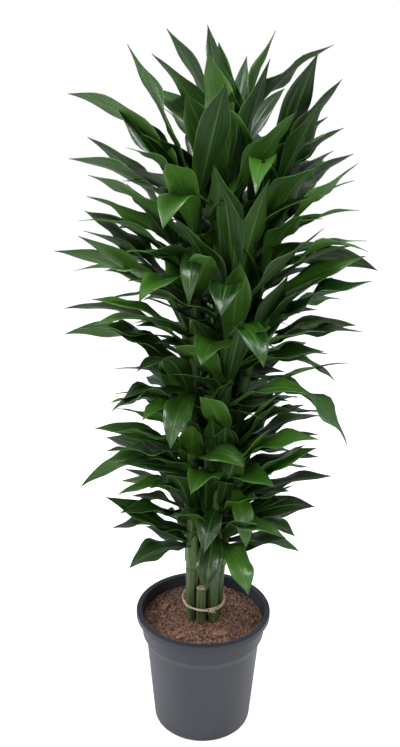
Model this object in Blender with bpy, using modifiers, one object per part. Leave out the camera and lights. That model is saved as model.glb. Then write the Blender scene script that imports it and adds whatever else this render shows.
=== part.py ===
"""Potted corn plant: seven leafy canes in a round nursery pot filled with soil.

Units are metres, +Z is up, the pot stands on z = 0 and its axis is the Z axis. The plant's
open side faces -Y. Each cane stands in a blind socket in the soil and wears sleeves of
clasping leaf bases; each sleeve and its leaves are one body.
"""
import random
from math import atan2, cos, hypot, pi, radians, sin

import bmesh
import bpy
from mathutils import Matrix, Vector
from mathutils.bvhtree import BVHTree

CM = 0.01
TOUCH_GAP = 0.0003          # air left between two pieces that touch

# Pot, a 27 cm thin-walled nursery pot
POT_HEIGHT = 0.250
POT_WALL = 0.0020
POT_FLOOR = 0.0030
RIM_R = 0.1350              # outside of the turned-down lip
LIP_DROP = 0.0120
COLLAR_R = 0.1250           # wall just under the lip
COLLAR_LOW = 0.200          # where the collar steps in
STEP_LOW = 0.185
BODY_R = 0.1145             # wall just under the step
BASE_R = 0.0985
BASE_ROUND = 0.0060
TURN_STEPS = 36
DRAIN_COUNT = 6
DRAIN_R = 0.0060
DRAIN_RING_R = 0.070
NOTCH_COUNT = 6             # small arches in the bottom edge, for water to leave
NOTCH_WIDTH = 0.0140
NOTCH_HEIGHT = 0.0022
NOTCH_DEPTH = 0.0170

# Soil
SOIL_EDGE_Z = 0.226
SOIL_CROWN_Z = 0.233
SOIL_TOP = [(0.0, SOIL_CROWN_Z), (0.055, SOIL_CROWN_Z - 0.001), (0.095, SOIL_EDGE_Z + 0.002)]
SOCKET_FLOOR_Z = 0.160

# Canes: place around the pot's axis, then the top's X, Y and height, in centimetres
SLOT_R = 0.0275
CANE_FOOT_R = 0.0100
CANE_TOP_R = 0.0072
CANE_SIDES = 10
RING_PITCH = 0.110
LEAN_POWER = 1.3            # canes leave the soil upright and lean out higher up
CANES = {
    1: (210, -2.0, -5.0, 112),
    2: (313, 4.5, -8.0, 97),
    3: (5, 10.5, -3.0, 104),
    4: (56, 11.0, 4.0, 111),
    5: (107, 4.0, 8.0, 118),
    6: (159, -4.0, 4.5, 100),
    7: (None, 3.5, -0.5, 115),
}
PRUNED_SLOT = 261
PRUNED_TOP_Z = 0.312
PRUNED_R = 0.0092

# Sleeves of leaf bases around the canes
SLEEVE_WALL = 0.0022
LEAFY_FROM_Z = 0.350
SLEEVE_TOP_INSET = 0.004
STOREYS = ("lower", "middle", "upper")

# Raffia tie around the canes
TIE_Z = 0.272
TIE_R = 0.0026
TIE_SLACK = 0.0011          # the canes spread a little before they reach the tie
TIE_SHIFT_X = 0.0007

# Leaves
LEAF_THICK = 0.0018
ROOT_BELOW_TOP = 0.027      # highest root, below the top of its cane
GOLDEN_ANGLE = 137.5
FREE_LEAF_PITCH = 0.030
SEED = 11
CLEAR_SIDE = 0.0010
CLEAR_THICK = 0.0008

# Leaves that shape the plant's front and outline. Each row: cane, root height, tip X, Y, Z
# (centimetres), droop (degrees that the leaf bends down along its length), greatest width
# (centimetres) and roll (degrees that the blade turns about its own length).
SHAPED_LEAVES = (
    # crown at the top
    (5, 115, -7, 6, 135, 15, 4.5, 20),
    (1, 110, -13, -2, 132, 5, 4.5, 35),
    (7, 111, 0, -4, 131, 8, 5.5, 0),
    (7, 114, 0, 3, 135.5, 8, 4.5, 0),
    (5, 114, 2, 6, 133, 8, 5.0, 0),
    (5, 112, 6, 10, 131, 10, 4.0, 0),
    (7, 113, 10, 0, 134.5, 12, 5.5, -15),
    (7, 108, 9, -4, 130, 6, 4.5, 0),
    (4, 109, 17, -2, 131, 10, 5.0, -10),
    (4, 110, 21.5, 0, 127, 15, 4.0, -20),
    (4, 107, 19, -4, 121, 35, 4.5, 0),
    (4, 106, 23, 4, 119, 35, 3.5, -30),
    # upper left
    (1, 111, -24, 3, 124, 45, 4.0, 45),
    (6, 99, -21, 5, 117, 35, 3.5, 50),
    (1, 106, -13, -10, 116, 45, 4.5, 0),
    (1, 108, -11, -3, 118, 40, 3.0, 20),
    (1, 103.5, -23.5, -2, 113.5, 35, 4.5, 30),
    (1, 102, -14, -7, 110.5, 60, 4.5, 0),
    (1, 99, -19.5, -8, 111.5, 25, 6.0, 15),
    (6, 96, -20.5, -3, 107.5, 25, 4.5, 20),
    (6, 93, -21.5, 4, 104, 35, 3.5, 30),
    (1, 106, -7, -20, 104, 85, 5.5, 0),
    # front, above the middle
    (3, 101, 16.5, -12, 113.5, 40, 6.0, 0),
    (4, 110, 7, -18, 109, 95, 5.0, 0),
    (2, 90.5, 1, -12, 114, 20, 5.5, 0),
    (4, 104, 20, 7, 118, 30, 5.0, 0),
    (2, 91.5, 2, -22, 91, 95, 6.5, 0),
    (1, 99, -3, -17, 91, 95, 4.0, 0),
    (2, 88.5, 9, -14, 112, 15, 4.0, 0),
    (2, 86.5, -5, -16, 106, 30, 4.5, 0),
    # upper right
    (4, 101, 24, -2, 115, 30, 5.5, -15),
    (4, 103, 22, 7, 115, 30, 4.0, 0),
    (4, 98, 25.5, 4, 110, 35, 4.0, -20),
    (3, 98, 25.5, -3, 105.5, 45, 4.5, -10),
    (3, 96, 18.5, -9, 105, 60, 4.0, 0),
    (3, 92, 27, -4, 100.5, 45, 5.0, -10),
    (4, 89, 26, 1, 99, 30, 4.0, -20),
    (4, 93, 31, 4, 93.5, 50, 3.5, -70),
    # left, at the middle
    (6, 88, -22, 2, 101, 30, 4.5, 20),
    (1, 86, -22, -4, 101, 20, 3.5, 50),
    (6, 86, -27.5, 3, 97, 35, 3.5, 50),
    (1, 90, -23, -6, 95, 45, 5.0, 10),
    (1, 93, -13.5, -11, 99.5, 45, 4.0, 0),
    (1, 92, -11, -17, 92, 75, 5.5, 0),
    (1, 88, -13, -13, 95, 50, 4.5, 0),
    (6, 81, -26, 2, 86.5, 40, 3.5, 40),
    (1, 83, -20, -7, 85.5, 50, 4.5, 0),
    (6, 77, -26.5, 4, 81, 45, 3.5, 60),
    (1, 80, -12, -9, 86.5, 50, 4.0, 0),
    (1, 76, -12, -9, 78, 85, 5.0, 0),
    # right, at the middle
    (4, 88, 19.5, 5, 94.5, 30, 3.5, 0),
    (4, 85, 22.5, 2, 93, 12, 5.5, 0),
    (3, 84, 28, -6, 94, 20, 6.0, 5),
    (4, 80, 28, 5, 83, 25, 3.5, -60),
    (4, 78, 28, -1, 83.5, 30, 5.0, 0),
    (4, 75, 23.5, 6, 77, 30, 3.0, 0),
    (3, 78, 23.5, -3, 74, 60, 4.5, 0),
    (3, 75, 25.5, -7, 63, 60, 5.5, 0),
    (3, 76, 13, -9, 96, 8, 5.0, 0),
    # front, under the middle
    (2, 82, -1, -20, 82.5, 75, 5.5, 0),
    (2, 74, 5.5, -16, 90, 12, 3.5, 0),
    (2, 86, 9, -20, 82, 85, 5.0, 0),
    (1, 72, -6, -16, 66, 90, 5.5, 0),
    (2, 56, 1, -10, 71, 15, 3.5, 0),
    (2, 56, -2.5, -16, 58, 75, 5.0, 0),
    # lower left
    (1, 72, -17, -6, 69, 60, 4.5, 0),
    (6, 66, -18.5, 5, 67, 50, 3.0, 30),
    (1, 69, -11, -12, 70, 75, 4.5, 0),
    (1, 60, -17, -8, 66.5, 30, 4.5, 20),
    (1, 57, -17.5, -12, 64.5, 30, 5.5, 10),
    (6, 58, -17, 2, 64, 20, 3.5, 30),
    (1, 55, -18, -10, 61.5, 45, 6.0, 0),
    (6, 55, -24.5, 3, 49.5, 60, 3.0, 60),
    (6, 49, -16.5, 3, 51.5, 30, 3.5, 50),
    (6, 46, -14, -1, 50.5, 30, 3.5, 50),
    (1, 48, -6, -14, 61.5, 30, 4.5, 0),
    (1, 51, -10, -9, 56, 60, 3.5, 0),
    (6, 43, -8, -1, 48, 50, 3.5, 20),
    (1, 43, -17.5, -6, 46, 35, 5.0, 10),
    (1, 40, -14, -9, 39, 55, 5.0, 0),
    # lower right
    (3, 69, 14.5, 0, 71.5, 40, 4.5, 0),
    (3, 60, 13, -5, 72, 20, 4.0, 0),
    (4, 59, 18.5, 1, 69, 35, 4.5, 0),
    (2, 52, 11, -10, 69, 12, 5.5, 0),
    (3, 57, 21, -2, 64, 45, 4.0, 0),
    (3, 50, 18, -6, 64, 12, 5.0, 0),
    (4, 53, 22, 1, 58, 35, 4.0, 0),
    (3, 49, 24, -3, 56, 25, 4.5, 0),
    (3, 46, 15.5, -7, 55, 35, 4.5, 0),
    (2, 48, 9.5, -10, 55, 35, 4.0, 0),
    (3, 43, 15.5, -2, 51, 30, 3.5, 0),
    (3, 45, 17, -7, 45, 55, 5.0, 0),
    (3, 40, 18.5, -3, 39.5, 50, 4.5, 0),
    (3, 53, 7.5, -9, 43, 85, 4.0, 0),
    # hanging over the soil
    (2, 42, 8, -15, 37, 75, 5.0, 0),
    (2, 44, 0.5, -13, 36.5, 85, 5.0, 0),
    (2, 49, 0, -14, 45, 85, 4.5, 0),
)


# ---------------------------------------------------------------- shared helpers

def clear_scene():
    for old in list(bpy.data.objects):
        bpy.data.objects.remove(old)


def new_collection(name):
    group = bpy.data.collections.new(name)
    bpy.context.scene.collection.children.link(group)
    return group


def new_material(name, color, roughness):
    material = bpy.data.materials.new(name)
    material.use_nodes = True
    shader = material.node_tree.nodes["Principled BSDF"]
    shader.inputs["Base Color"].default_value = (*color, 1.0)
    shader.inputs["Roughness"].default_value = roughness
    shader.inputs["Metallic"].default_value = 0.0
    return material


def new_object(name, mesh, group, material=None):
    piece = bpy.data.objects.new(name, mesh)
    group.objects.link(piece)
    if material:
        mesh.materials.append(material)
    return piece


def as_guide(piece):
    piece.hide_render = True
    piece.display_type = "WIRE"


def add_boolean(piece, operation, cutter):
    cut = piece.modifiers.new(operation.title(), "BOOLEAN")
    cut.operation = operation
    cut.solver = "EXACT"
    cut.object = cutter


def turned(name, profile, steps, group, material):
    """Turn a profile of (radius, height) points, listed down its outer side, about Z."""
    mesh = bpy.data.meshes.new(name)
    points = [(r, 0.0, z) for r, z in profile]
    mesh.from_pydata(points, [(i, i + 1) for i in range(len(points) - 1)], [])
    piece = new_object(name, mesh, group, material)
    screw = piece.modifiers.new("Turn", "SCREW")
    screw.steps = steps
    screw.render_steps = steps
    screw.use_merge_vertices = True
    screw.merge_threshold = 0.00005
    screw.use_smooth_shade = True
    return piece


def ring(center, radius, sides):
    return [center + Vector((radius * cos(2 * pi * i / sides), radius * sin(2 * pi * i / sides), 0.0))
            for i in range(sides)]


def loft(rings, cyclic=False, apex=None):
    """Vertices and faces of a skin over rings of equal count, closed at both ends.

    A skin that runs out to an apex bends, so its sides are triangles.
    """
    count = len(rings[0])
    points = [p for one in rings for p in one]
    faces = []
    spans = len(rings) if cyclic else len(rings) - 1
    for k in range(spans):
        low = k * count
        high = ((k + 1) % len(rings)) * count
        for i in range(count):
            j = (i + 1) % count
            if apex is None:
                faces.append((low + i, low + j, high + j, high + i))
            elif i % 2:                  # opposite faces split alike, so thin walls stay apart
                faces += [(low + i, low + j, high + i), (low + j, high + j, high + i)]
            else:
                faces += [(low + i, low + j, high + j), (low + i, high + j, high + i)]
    if not cyclic:
        faces.append(tuple(range(count - 1, -1, -1)))
        last = (len(rings) - 1) * count
        if apex is None:
            faces.append(tuple(range(last, last + count)))
        else:
            points.append(apex)
            faces += [(last + i, last + (i + 1) % count, len(points) - 1) for i in range(count)]
    return points, faces


def mesh_of(name, skin):
    mesh = bpy.data.meshes.new(name)
    mesh.from_pydata([tuple(p) for p in skin[0]], [], skin[1])
    mesh.validate()
    return mesh


# ---------------------------------------------------------------- canes

def cane_foot(cane):
    slot = CANES[cane][0]
    if slot is None:
        return Vector((0.0, 0.0))
    return SLOT_R * Vector((cos(radians(slot)), sin(radians(slot))))


def cane_top_z(cane):
    return CANES[cane][3] * CM


def cane_point(cane, z):
    """Centre line of a cane at height z."""
    _, top_x, top_y, _ = CANES[cane]
    foot = cane_foot(cane)
    rise = max(0.0, (z - SOIL_CROWN_Z) / (cane_top_z(cane) - SOIL_CROWN_Z))
    lean = rise ** LEAN_POWER
    place = foot.lerp(Vector((top_x, top_y)) * CM, lean)
    return Vector((place.x, place.y, z))


def cane_radius(cane, z):
    share = (z - SOCKET_FLOOR_Z) / (cane_top_z(cane) - SOCKET_FLOOR_Z)
    return CANE_FOOT_R + (CANE_TOP_R - CANE_FOOT_R) * share


def storey_ends(cane):
    """Heights where the sleeves of a cane begin and end, lowest first."""
    top = cane_top_z(cane) - SLEEVE_TOP_INSET
    return [LEAFY_FROM_Z + (top - LEAFY_FROM_Z) * i / len(STOREYS) for i in range(len(STOREYS) + 1)]


def ring_heights(cane):
    """Heights of the cane's cross-sections: the sleeve ends and even steps between them."""
    ends = [SOCKET_FLOOR_Z, SOIL_CROWN_Z] + storey_ends(cane) + [cane_top_z(cane)]
    heights = []
    for low, high in zip(ends, ends[1:]):
        parts = max(1, round((high - low) / RING_PITCH))
        heights += [low + (high - low) * i / parts for i in range(parts)]
    return heights + [ends[-1]]


def cane_skin(cane, extra=0.0, low=None, high=None):
    """Solid of the cane, grown outwards by extra, between two of its ring heights."""
    low = SOCKET_FLOOR_Z if low is None else low
    high = cane_top_z(cane) if high is None else high
    heights = [z for z in ring_heights(cane) if low - 1e-6 < z < high + 1e-6]
    return [ring(cane_point(cane, z), cane_radius(cane, z) + extra, CANE_SIDES) for z in heights]


def sleeve_skin(cane, storey):
    """Hollow sleeve around the cane: outer rings going up, inner rings coming down."""
    ends = storey_ends(cane)
    low, high = ends[storey], ends[storey + 1]
    inner = cane_skin(cane, TOUCH_GAP, low, high)
    outer = cane_skin(cane, TOUCH_GAP + SLEEVE_WALL, low, high)
    if storey < len(STOREYS) - 1:
        for rings in (inner, outer):
            rings[-1] = [p - Vector((0.0, 0.0, TOUCH_GAP)) for p in rings[-1]]
    return loft(outer + inner[::-1], cyclic=True)


# ---------------------------------------------------------------- leaves

def blade_share(s):
    """Width of the blade at s (0 root, 1 tip) as a share of its greatest width."""
    body = (s / 0.535) ** 1.15 * ((1.0 - s) / 0.465)
    return body + 0.30 * (1.0 - s) ** 9


def unit_spine(droop):
    """Points of a unit-long spine that starts level and bends down by droop degrees."""
    count = 24
    points = [Vector((0.0, 0.0))]
    for k in range(count):
        angle = -radians(droop) * ((k + 0.5) / count) ** 1.5
        points.append(points[-1] + Vector((cos(angle), sin(angle))) / count)
    return points


def highest_root(cane):
    return cane_top_z(cane) - ROOT_BELOW_TOP


def leaf_to_tip(cane, root_z, tip, droop, width, roll):
    """A leaf given by the point its tip reaches."""
    root_z = min(root_z, highest_root(cane))
    root = cane_point(cane, root_z)
    reach = tip - root
    flat = hypot(reach.x, reach.y)
    end = unit_spine(droop)[-1]
    rise = atan2(reach.z, flat) - atan2(end.y, end.x)
    return {"cane": cane, "root_z": root_z, "azimuth": atan2(reach.y, reach.x), "rise": rise,
            "length": reach.length / end.length, "droop": droop, "width": width,
            "roll": radians(roll), "bend": 0.0, "fine": True}


def leaf_sections(leaf, stations, grow_side=0.0, grow_thick=0.0):
    """Cross-sections of a leaf: left edge, upper midrib, right edge, lower midrib."""
    heading = Vector((cos(leaf["azimuth"]), sin(leaf["azimuth"]), 0.0))
    across = Vector((-heading.y, heading.x, 0.0))
    flat_r = (cane_radius(leaf["cane"], leaf["root_z"]) + TOUCH_GAP + SLEEVE_WALL) * cos(pi / CANE_SIDES)
    start = flat_r - 0.45 * SLEEVE_WALL         # the root is sunk into the sleeve's wall
    root = cane_point(leaf["cane"], leaf["root_z"]) + heading * start
    spine = unit_spine(leaf["droop"])
    last = len(spine) - 1
    length = leaf["length"] - start
    up_turn = cos(leaf["rise"]), sin(leaf["rise"])
    sections = []
    for s in stations:
        k = min(int(s * last), last - 1)
        point = spine[k].lerp(spine[k + 1], s * last - k)
        step = (spine[k + 1] - spine[k]).normalized()
        out = point.x * up_turn[0] - point.y * up_turn[1]
        up = point.x * up_turn[1] + point.y * up_turn[0]
        tangent = heading * (step.x * up_turn[0] - step.y * up_turn[1])
        tangent.z = step.x * up_turn[1] + step.y * up_turn[0]
        center = root + heading * (out * length) + Vector((0.0, 0.0, up * length))
        center += across * (leaf["bend"] * length * s * (1.0 - s))
        turn = Matrix.Rotation(leaf["roll"] * min(1.0, 1.6 * s), 3, tangent)
        side = turn @ across
        normal = side.cross(tangent).normalized() * -1.0
        grown = 1.0 if s > 0.0 else 0.0
        half = 0.5 * leaf["width"] * blade_share(s) + grow_side * grown
        fold = radians(26.0 - 16.0 * s)
        lift = normal * (half * sin(fold) * grown)
        thick = normal * (0.5 * LEAF_THICK * (0.4 + 0.6 * grown - 0.6 * s) + grow_thick * grown)
        reach = side * (half * cos(fold))
        sections.append([center + reach + lift, center + thick, center - reach + lift, center - thick])
    return sections


def leaf_skin(leaf, grow_side=0.0, grow_thick=0.0):
    stations = [0.0, 0.25, 0.5, 0.78, 1.0] if leaf["fine"] else [0.0, 0.3, 0.66, 1.0]
    sections = leaf_sections(leaf, stations, grow_side, grow_thick)
    tip = (sections[-1][1] + sections[-1][3]) / 2
    return loft(sections[:-1], apex=tip)


def storey_of(leaf):
    ends = storey_ends(leaf["cane"])
    above = [i for i in range(len(STOREYS)) if leaf["root_z"] >= ends[i]]
    return above[-1]


def free_leaves(chance):
    """Leaves that spiral up each cane by the golden angle and fill the plant."""
    leaves = []
    for cane in CANES:
        low = LEAFY_FROM_Z + 0.015
        high = highest_root(cane)
        count = round((high - low) / FREE_LEAF_PITCH)
        for i in range(count + 1):
            share = i / count
            root_z = low + (high - low) * share
            from_top = high - root_z
            young = max(0.0, 1.0 - from_top / 0.16)
            leaves.append({
                "cane": cane, "root_z": root_z,
                "azimuth": radians(GOLDEN_ANGLE * i + 50 * cane + chance.uniform(-12, 12)),
                "rise": radians(chance.uniform(30, 50) + 34 * young),
                "length": chance.uniform(0.19, 0.24),
                "droop": chance.uniform(45, 75) - 45 * young,
                "width": chance.uniform(0.038, 0.052),
                "roll": radians(chance.uniform(-25, 25)),
                "bend": chance.uniform(-0.12, 0.12), "fine": False})
    return leaves


def shaped_leaves():
    return [leaf_to_tip(cane, z * CM, Vector((tx, ty, tz)) * CM, droop, width * CM, roll)
            for cane, z, tx, ty, tz, droop, width, roll in SHAPED_LEAVES]


class Obstacle:
    """A solid that leaves keep clear of: its bounding box and its search tree."""

    def __init__(self, skin, node):
        points, faces = skin
        self.node = node
        self.low = [min(p[i] for p in points) for i in range(3)]
        self.high = [max(p[i] for p in points) for i in range(3)]
        self.tree = BVHTree.FromPolygons([tuple(p) for p in points], faces)

    def hits(self, other):
        for i in range(3):
            if self.low[i] > other.high[i] or other.low[i] > self.high[i]:
                return False
        return bool(self.tree.overlap(other.tree))


def nudges(reach):
    """Small turns (azimuth, rise, length share) to try, the smallest first."""
    steps = [(a, r, l) for a in range(-reach, reach + 1, 5) for r in range(-reach, reach + 1, 5)
             for l in (1.0, 0.88)]
    return sorted(steps, key=lambda n: (abs(n[0]) + abs(n[1]) + 60 * (1.0 - n[2]), n))


def place_leaves(fixed):
    """Set every leaf where it touches no other piece; leave out what finds no room."""
    leaves = shaped_leaves() + free_leaves(random.Random(SEED))
    placed = []
    solids = []
    tries = {True: nudges(20), False: nudges(30)}
    for leaf in leaves:
        node = (leaf["cane"], storey_of(leaf))
        for turn, tilt, size in tries[leaf["fine"]]:
            moved = dict(leaf)
            moved["azimuth"] += radians(turn)
            moved["rise"] += radians(tilt)
            moved["length"] *= size
            whole = Obstacle(leaf_skin(moved, CLEAR_SIDE, CLEAR_THICK), node)
            if any(whole.hits(solid) for solid in fixed if solid.node != node):
                continue
            if any(whole.hits(solid) for solid in solids):
                continue
            placed.append(moved)
            solids.append(Obstacle(leaf_skin(moved), node))
            break
    return placed


# ---------------------------------------------------------------- pot and soil

def wall_inside():
    """Inner line of the pot's wall, from the floor up."""
    return [(BASE_R - POT_WALL, POT_FLOOR), (BODY_R - POT_WALL, STEP_LOW),
            (COLLAR_R - 0.002 - POT_WALL, COLLAR_LOW), (COLLAR_R - POT_WALL, POT_HEIGHT - POT_WALL)]


def make_pot(parts, cutters, material):
    lip_low = POT_HEIGHT - LIP_DROP
    profile = [(0.0, POT_FLOOR)] + wall_inside() + [
        (COLLAR_R - 0.001, POT_HEIGHT), (RIM_R - 0.0015, POT_HEIGHT), (RIM_R, POT_HEIGHT - 0.0015),
        (RIM_R, lip_low), (RIM_R - POT_WALL, lip_low), (RIM_R - POT_WALL, POT_HEIGHT - POT_WALL),
        (COLLAR_R, POT_HEIGHT - POT_WALL), (COLLAR_R - 0.002, COLLAR_LOW), (BODY_R, STEP_LOW),
        (BASE_R + 0.0004, BASE_ROUND), (BASE_R - 0.0018, 0.0018), (BASE_R - BASE_ROUND, 0.0),
        (0.0, 0.0)]
    pot = turned("nursery_pot", profile, TURN_STEPS, parts, material)
    for i in range(DRAIN_COUNT):
        angle = 2 * pi * i / DRAIN_COUNT
        place = Vector((DRAIN_RING_R * cos(angle), DRAIN_RING_R * sin(angle), 0.0))
        rings = [ring(place + Vector((0.0, 0.0, z)), DRAIN_R, 12) for z in (-0.01, POT_FLOOR + 0.01)]
        hole = new_object(f"drain_cut_{i + 1}", mesh_of("drain_cut", loft(rings)), cutters)
        as_guide(hole)
        add_boolean(pot, "DIFFERENCE", hole)
    for i in range(NOTCH_COUNT):
        bpy.ops.mesh.primitive_cube_add(size=1.0)
        notch = bpy.context.object
        notch.name = f"notch_cut_{i + 1}"
        angle = 2 * pi * (i + 0.5) / NOTCH_COUNT
        size = Matrix.Diagonal((NOTCH_DEPTH, NOTCH_WIDTH, 2 * NOTCH_HEIGHT, 1.0))
        notch.data.transform(size)
        notch.location = (BASE_R * cos(angle), BASE_R * sin(angle), 0.0)
        notch.rotation_euler = (0.0, 0.0, angle)
        for old in list(notch.users_collection):
            old.objects.unlink(notch)
        cutters.objects.link(notch)
        as_guide(notch)
        add_boolean(pot, "DIFFERENCE", notch)
    return pot


def make_soil(parts, cutters, material):
    gap = TOUCH_GAP
    inside = [(r - gap, z) for r, z in wall_inside()[:3]]
    inside[0] = (inside[0][0], POT_FLOOR + gap)
    low, high = wall_inside()[2:]
    share = (SOIL_EDGE_Z - low[1]) / (high[1] - low[1])
    edge = (low[0] + (high[0] - low[0]) * share - gap, SOIL_EDGE_Z)
    profile = SOIL_TOP + [edge]
    profile += inside[::-1] + [(0.0, POT_FLOOR + gap)]
    soil = turned("potting_soil", profile, TURN_STEPS, parts, material)
    for cane in CANES:
        rings = cane_skin(cane, gap, SOCKET_FLOOR_Z, LEAFY_FROM_Z)
        rings[0] = [p - Vector((0.0, 0.0, gap)) for p in rings[0]]
        add_socket(soil, cutters, f"socket_cut_{cane}", rings)
    add_socket(soil, cutters, "socket_cut_pruned", pruned_rings(gap))
    return soil


def add_socket(soil, cutters, name, rings):
    socket = new_object(name, mesh_of(name, loft(rings)), cutters)
    as_guide(socket)
    add_boolean(soil, "DIFFERENCE", socket)


def pruned_rings(extra):
    place = SLOT_R * Vector((cos(radians(PRUNED_SLOT)), sin(radians(PRUNED_SLOT)), 0.0))
    heights = (SOCKET_FLOOR_Z + 0.02 - extra, SOIL_CROWN_Z, PRUNED_TOP_Z)
    return [ring(place + Vector((0.0, 0.0, z)), PRUNED_R + extra, CANE_SIDES) for z in heights]


# ---------------------------------------------------------------- small pieces

def make_tie(parts, material):
    """Raffia wound once around the canes, with a knot at the front."""
    outer_r = SLOT_R + CANE_FOOT_R + TOUCH_GAP + TIE_R + TIE_SLACK
    curve = bpy.data.curves.new("raffia_tie", "CURVE")
    curve.dimensions = "3D"
    curve.bevel_depth = TIE_R
    curve.bevel_resolution = 1
    curve.render_resolution_u = 0
    spline = curve.splines.new("POLY")
    count = 28
    spline.points.add(count - 1)
    for i, point in enumerate(spline.points):
        angle = 2 * pi * i / count
        sag = 0.004 * cos(angle - radians(285))
        point.co = (outer_r * cos(angle) + TIE_SHIFT_X, outer_r * sin(angle), TIE_Z - sag, 1.0)
    spline.use_cyclic_u = True
    guide = bpy.data.objects.new("tie_curve", curve)
    bpy.context.scene.collection.objects.link(guide)
    shape = guide.evaluated_get(bpy.context.evaluated_depsgraph_get())
    mesh = bpy.data.meshes.new_from_object(shape)
    mesh.name = "raffia_tie"
    bpy.data.objects.remove(guide)
    tie = new_object("raffia_tie", mesh, parts, material)
    return tie, outer_r


def add_knot(tie, outer_r, cutters):
    bpy.ops.mesh.primitive_ico_sphere_add(subdivisions=2, radius=1.0)
    knot = bpy.context.object
    knot.name = "knot_lump"
    angle = radians(293)
    size = Matrix.Diagonal((0.0075, 0.0045, 0.0055, 1.0))
    knot.data.transform(Matrix.Rotation(angle + pi / 2, 4, "Z") @ size)
    center_r = outer_r + 0.0022
    knot.location = (center_r * cos(angle), center_r * sin(angle), TIE_Z - 0.004)
    for old in list(knot.users_collection):
        old.objects.unlink(knot)
    cutters.objects.link(knot)
    as_guide(knot)
    add_boolean(tie, "UNION", knot)


def soil_height(radius):
    """Height of the soil's surface at this distance from the pot's axis."""
    for (r1, z1), (r2, z2) in zip(SOIL_TOP, SOIL_TOP[1:]):
        if radius <= r2:
            return z1 + (z2 - z1) * (radius - r1) / (r2 - r1)
    return SOIL_TOP[-1][1]


def make_chip(name, place, size, turn, parts, material):
    """A flat chip of bark lying on the soil, on its edge nearest the pot's axis."""
    bm = bmesh.new()
    bmesh.ops.create_cube(bm, size=1.0)
    bmesh.ops.scale(bm, vec=size, verts=bm.verts)
    bmesh.ops.bevel(bm, geom=list(bm.edges), offset=0.0015, segments=1, profile=0.5,
                    affect="EDGES", material=-1)
    spin = Matrix.Rotation(radians(turn), 3, "Z")
    bmesh.ops.rotate(bm, cent=(0.0, 0.0, 0.0), matrix=spin, verts=bm.verts)
    bmesh.ops.translate(bm, vec=place, verts=bm.verts)
    mesh = bpy.data.meshes.new(name)
    bm.to_mesh(mesh)
    bm.free()
    return new_object(name, mesh, parts, material)


# ---------------------------------------------------------------- plant

def settle_order(crown):
    """Keep the joined body, its triangles listed from left to right. The STEP reader picks a
    solid's outside from its first face, and with this order it picks right for every crown."""
    bm = bmesh.new()
    bm.from_object(crown, bpy.context.evaluated_depsgraph_get())
    bmesh.ops.triangulate(bm, faces=bm.faces)
    bm.faces.sort(key=lambda face: face.calc_center_median().x)
    crown.modifiers.clear()
    bm.to_mesh(crown.data)
    bm.free()


def make_crowns(leaves, parts, cutters, green):
    """One body for each sleeve: the sleeve joined with the leaves that clasp it."""
    for cane in CANES:
        for storey, storey_name in enumerate(STOREYS):
            name = f"cane_{cane}_{storey_name}_leaves"
            crown = new_object(name, mesh_of(name, sleeve_skin(cane, storey)), parts, green)
            members = [leaf for leaf in leaves if (leaf["cane"], storey_of(leaf)) == (cane, storey)]
            if not members:
                continue
            own = bpy.data.collections.new(f"{name}_blades")
            cutters.children.link(own)
            for i, leaf in enumerate(members):
                blade = new_object(f"blade_{cane}_{storey}_{i}", mesh_of("blade", leaf_skin(leaf)), own)
                as_guide(blade)
            join = crown.modifiers.new("Join blades", "BOOLEAN")
            join.operation = "UNION"
            join.solver = "MANIFOLD"     # many thin blades at once defeat the exact solver
            join.operand_type = "COLLECTION"
            join.collection = own
            settle_order(crown)


def make_canes(parts, material):
    for cane in CANES:
        name = f"cane_{cane}"
        mesh = mesh_of(name, loft(cane_skin(cane)))
        new_object(name, mesh, parts, material)


def fixed_solids():
    """What the leaves keep clear of: canes, sleeves, the pot's rim and the soil."""
    solids = []
    for cane in CANES:
        solids.append(Obstacle(loft(cane_skin(cane)), f"cane_{cane}"))
        for storey in range(len(STOREYS)):
            solids.append(Obstacle(sleeve_skin(cane, storey), (cane, storey)))
    rim = [ring(Vector((0.0, 0.0, z)), RIM_R + 0.002, TURN_STEPS) for z in (0.0, POT_HEIGHT + 0.002)]
    solids.append(Obstacle(loft(rim), "nursery_pot"))
    return solids


def main():
    clear_scene()
    parts = new_collection("potted_corn_plant")
    cutters = new_collection("cutters")
    pot_gray = new_material("slate_plastic", (0.082, 0.091, 0.112), 0.45)
    earth = new_material("potting_mix", (0.060, 0.028, 0.020), 0.95)
    stem = new_material("cane_skin", (0.085, 0.120, 0.050), 0.6)
    green = new_material("leaf_green", (0.030, 0.100, 0.025), 0.35)
    raffia = new_material("raffia", (0.60, 0.50, 0.36), 0.7)
    bark = new_material("bark", (0.25, 0.12, 0.07), 0.9)
    make_pot(parts, cutters, pot_gray)
    make_soil(parts, cutters, earth)
    make_canes(parts, stem)
    new_object("pruned_cane", mesh_of("pruned_cane", loft(pruned_rings(0.0))), parts, stem)
    tie, tie_r = make_tie(parts, raffia)
    add_knot(tie, tie_r, cutters)
    leaves = place_leaves(fixed_solids())
    make_crowns(leaves, parts, cutters, green)
    chips = (("bark_chip_1", (0.034, -0.062), (0.028, 0.015, 0.004), 15),
             ("bark_chip_2", (0.048, -0.092), (0.018, 0.010, 0.004), -30),
             ("bark_chip_3", (-0.045, -0.072), (0.020, 0.009, 0.003), 40),
             ("bark_chip_4", (-0.078, 0.030), (0.024, 0.012, 0.004), 70))
    for name, place, size, turn in chips:
        inner = hypot(*place) - 0.45 * size[0]
        place = Vector((*place, soil_height(inner) + size[2] / 2 + TOUCH_GAP))
        make_chip(name, place, size, turn, parts, bark)


main()
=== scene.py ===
import random
from math import atan2, cos, hypot, pi, radians, sin

import bmesh
import bpy
from mathutils import Matrix, Vector, noise


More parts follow.
